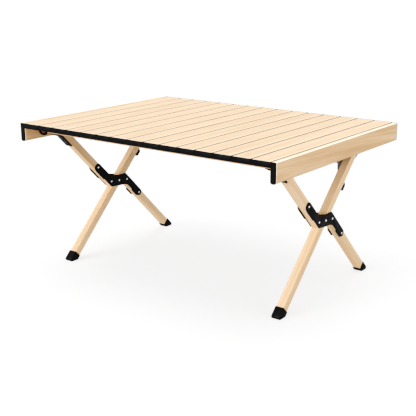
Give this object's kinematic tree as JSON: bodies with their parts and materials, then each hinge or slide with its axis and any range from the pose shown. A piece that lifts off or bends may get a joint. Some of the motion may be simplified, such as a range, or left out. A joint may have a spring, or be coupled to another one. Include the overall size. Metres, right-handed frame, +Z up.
{
  "type": "folding table",
  "caption": "Low camping table: a roll-up slatted wooden top on two long rails, carried by a folding X-shaped leg frame near each end, with rubber boots",
  "frame": {"origin": "on the floor under the middle of the top", "axes": "+X along the long side to the right, +Y to the back, +Z up"},
  "size_m": [0.9, 0.66, 0.45],
  "materials": {
    "slat_wood": "satin",
    "apron_wood": "satin",
    "leg_wood": "satin",
    "rail_wood": "satin",
    "cap_plastic": "satin",
    "catch_plastic": "satin",
    "bracket_steel": "satin",
    "rivet_steel": "polished",
    "hanger_steel": "satin",
    "boot_rubber": "matte"
  },
  "bodies": {
    "front_rail": {"front_rail": "rail_wood", "hinge_base_left": "bracket_steel", "hinge_base_right": "bracket_steel"},
    "back_rail": {"back_rail": "rail_wood", "hanger_left": "hanger_steel", "hanger_right": "hanger_steel"},
    "leg_a_left": {"leg_a_upper_left": "leg_wood", "leg_a_lower_left": "leg_wood", "offset_plate_left_outer": "bracket_steel", "offset_plate_left_inner": "bracket_steel", "rivet_left_1": "rivet_steel", "rivet_left_2": "rivet_steel", "rivet_left_3": "rivet_steel", "rivet_left_4": "rivet_steel", "rivet_left_5": "rivet_steel", "boot_a_left": "boot_rubber", "leg_leaf_left": "bracket_steel"},
    "leg_b_left": {"leg_b_left": "leg_wood", "boot_b_left": "boot_rubber", "rear_rivet_left": "rivet_steel"},
    "leg_a_right": {"leg_a_upper_right": "leg_wood", "leg_a_lower_right": "leg_wood", "offset_plate_right_outer": "bracket_steel", "offset_plate_right_inner": "bracket_steel", "rivet_right_1": "rivet_steel", "rivet_right_2": "rivet_steel", "rivet_right_3": "rivet_steel", "rivet_right_4": "rivet_steel", "rivet_right_5": "rivet_steel", "boot_a_right": "boot_rubber", "leg_leaf_right": "bracket_steel"},
    "leg_b_right": {"leg_b_right": "leg_wood", "boot_b_right": "boot_rubber", "rear_rivet_right": "rivet_steel"},
    "slat_01": {"slat_01": "slat_wood", "apron_left": "apron_wood", "apron_cap_left_front": "cap_plastic", "apron_cap_left_back": "cap_plastic", "catch_left_front": "catch_plastic", "catch_left_back": "catch_plastic"},
    "slat_02": {"slat_02": "slat_wood"},
    "slat_03": {"slat_03": "slat_wood"},
    "slat_04": {"slat_04": "slat_wood"},
    "slat_05": {"slat_05": "slat_wood"},
    "slat_06": {"slat_06": "slat_wood"},
    "slat_07": {"slat_07": "slat_wood"},
    "slat_08": {"slat_08": "slat_wood"},
    "slat_09": {"slat_09": "slat_wood"},
    "slat_10": {"slat_10": "slat_wood"},
    "slat_11": {"slat_11": "slat_wood"},
    "slat_12": {"slat_12": "slat_wood"},
    "slat_13": {"slat_13": "slat_wood"},
    "slat_14": {"slat_14": "slat_wood"},
    "slat_15": {"slat_15": "slat_wood", "apron_right": "apron_wood", "apron_cap_right_front": "cap_plastic", "apron_cap_right_back": "cap_plastic", "catch_right_front": "catch_plastic", "catch_right_back": "catch_plastic"}
  },
  "joints": [
    {"name": "frame_fold", "type": "hinge", "parent": "front_rail", "child": "leg_a_left", "pos_m": [-0.389, -0.2525, 0.411], "axis": [-1, 0, 0], "range_deg": [0, 44]},
    {"name": "leg_a_right_fold", "type": "hinge", "parent": "front_rail", "child": "leg_a_right", "pos_m": [0.389, -0.2525, 0.411], "axis": [-1, 0, 0], "range_deg": [0, 44]},
    {"name": "leg_b_left_cross", "type": "hinge", "parent": "leg_a_left", "child": "leg_b_left", "pos_m": [-0.389, 0.003, 0.219], "axis": [1, 0, 0], "range_deg": [0, 88]},
    {"name": "leg_b_right_cross", "type": "hinge", "parent": "leg_a_right", "child": "leg_b_right", "pos_m": [0.389, 0.003, 0.219], "axis": [1, 0, 0], "range_deg": [0, 88]},
    {"name": "back_rail_turn", "type": "hinge", "parent": "leg_b_left", "child": "back_rail", "pos_m": [-0.389, 0.159, 0.375], "axis": [-1, 0, 0], "range_deg": [0, 44]},
    {"name": "top_lift", "type": "slide", "parent": "front_rail", "child": "slat_08", "axis": [0, 0, 1], "range_m": [0, 0.66]},
    {"name": "roll_07", "type": "hinge", "parent": "slat_08", "child": "slat_07", "pos_m": [-0.02893, 0, 0.435], "axis": [0, -1, 0], "range_deg": [0, 5]},
    {"name": "roll_09", "type": "hinge", "parent": "slat_08", "child": "slat_09", "pos_m": [0.02893, 0, 0.435], "axis": [0, 1, 0], "range_deg": [0, 5]},
    {"name": "roll_06", "type": "hinge", "parent": "slat_07", "child": "slat_06", "pos_m": [-0.0868, 0, 0.435], "axis": [0, -1, 0], "range_deg": [0, 10]},
    {"name": "roll_10", "type": "hinge", "parent": "slat_09", "child": "slat_10", "pos_m": [0.0868, 0, 0.435], "axis": [0, 1, 0], "range_deg": [0, 10]},
    {"name": "roll_05", "type": "hinge", "parent": "slat_06", "child": "slat_05", "pos_m": [-0.14467, 0, 0.435], "axis": [0, -1, 0], "range_deg": [0, 15]},
    {"name": "roll_11", "type": "hinge", "parent": "slat_10", "child": "slat_11", "pos_m": [0.14467, 0, 0.435], "axis": [0, 1, 0], "range_deg": [0, 15]},
    {"name": "roll_04", "type": "hinge", "parent": "slat_05", "child": "slat_04", "pos_m": [-0.20253, 0, 0.435], "axis": [0, -1, 0], "range_deg": [0, 20]},
    {"name": "roll_12", "type": "hinge", "parent": "slat_11", "child": "slat_12", "pos_m": [0.20253, 0, 0.435], "axis": [0, 1, 0], "range_deg": [0, 20]},
    {"name": "roll_03", "type": "hinge", "parent": "slat_04", "child": "slat_03", "pos_m": [-0.2604, 0, 0.435], "axis": [0, -1, 0], "range_deg": [0, 25]},
    {"name": "roll_13", "type": "hinge", "parent": "slat_12", "child": "slat_13", "pos_m": [0.2604, 0, 0.435], "axis": [0, 1, 0], "range_deg": [0, 25]},
    {"name": "roll_02", "type": "hinge", "parent": "slat_03", "child": "slat_02", "pos_m": [-0.31827, 0, 0.435], "axis": [0, -1, 0], "range_deg": [0, 30]},
    {"name": "roll_14", "type": "hinge", "parent": "slat_13", "child": "slat_14", "pos_m": [0.31827, 0, 0.435], "axis": [0, 1, 0], "range_deg": [0, 30]},
    {"name": "roll_01", "type": "hinge", "parent": "slat_02", "child": "slat_01", "pos_m": [-0.37613, 0, 0.435], "axis": [0, -1, 0], "range_deg": [0, 35]},
    {"name": "roll_15", "type": "hinge", "parent": "slat_14", "child": "slat_15", "pos_m": [0.37613, 0, 0.435], "axis": [0, 1, 0], "range_deg": [0, 35]}
  ],
  "couplings": [
    {"joint": "leg_a_right_fold", "follows": "frame_fold", "ratio": 1},
    {"joint": "leg_b_left_cross", "follows": "frame_fold", "ratio": 2},
    {"joint": "leg_b_right_cross", "follows": "frame_fold", "ratio": 2},
    {"joint": "back_rail_turn", "follows": "frame_fold", "ratio": 1},
    {"joint": "roll_07", "follows": "top_lift", "rad_per_m": 0.13222},
    {"joint": "roll_09", "follows": "top_lift", "rad_per_m": 0.13222},
    {"joint": "roll_06", "follows": "top_lift", "rad_per_m": 0.26444},
    {"joint": "roll_10", "follows": "top_lift", "rad_per_m": 0.26444},
    {"joint": "roll_05", "follows": "top_lift", "rad_per_m": 0.39666},
    {"joint": "roll_11", "follows": "top_lift", "rad_per_m": 0.39666},
    {"joint": "roll_04", "follows": "top_lift", "rad_per_m": 0.52889},
    {"joint": "roll_12", "follows": "top_lift", "rad_per_m": 0.52889},
    {"joint": "roll_03", "follows": "top_lift", "rad_per_m": 0.66111},
    {"joint": "roll_13", "follows": "top_lift", "rad_per_m": 0.66111},
    {"joint": "roll_02", "follows": "top_lift", "rad_per_m": 0.79333},
    {"joint": "roll_14", "follows": "top_lift", "rad_per_m": 0.79333},
    {"joint": "roll_01", "follows": "top_lift", "rad_per_m": 0.92555},
    {"joint": "roll_15", "follows": "top_lift", "rad_per_m": 0.92555}
  ]
}
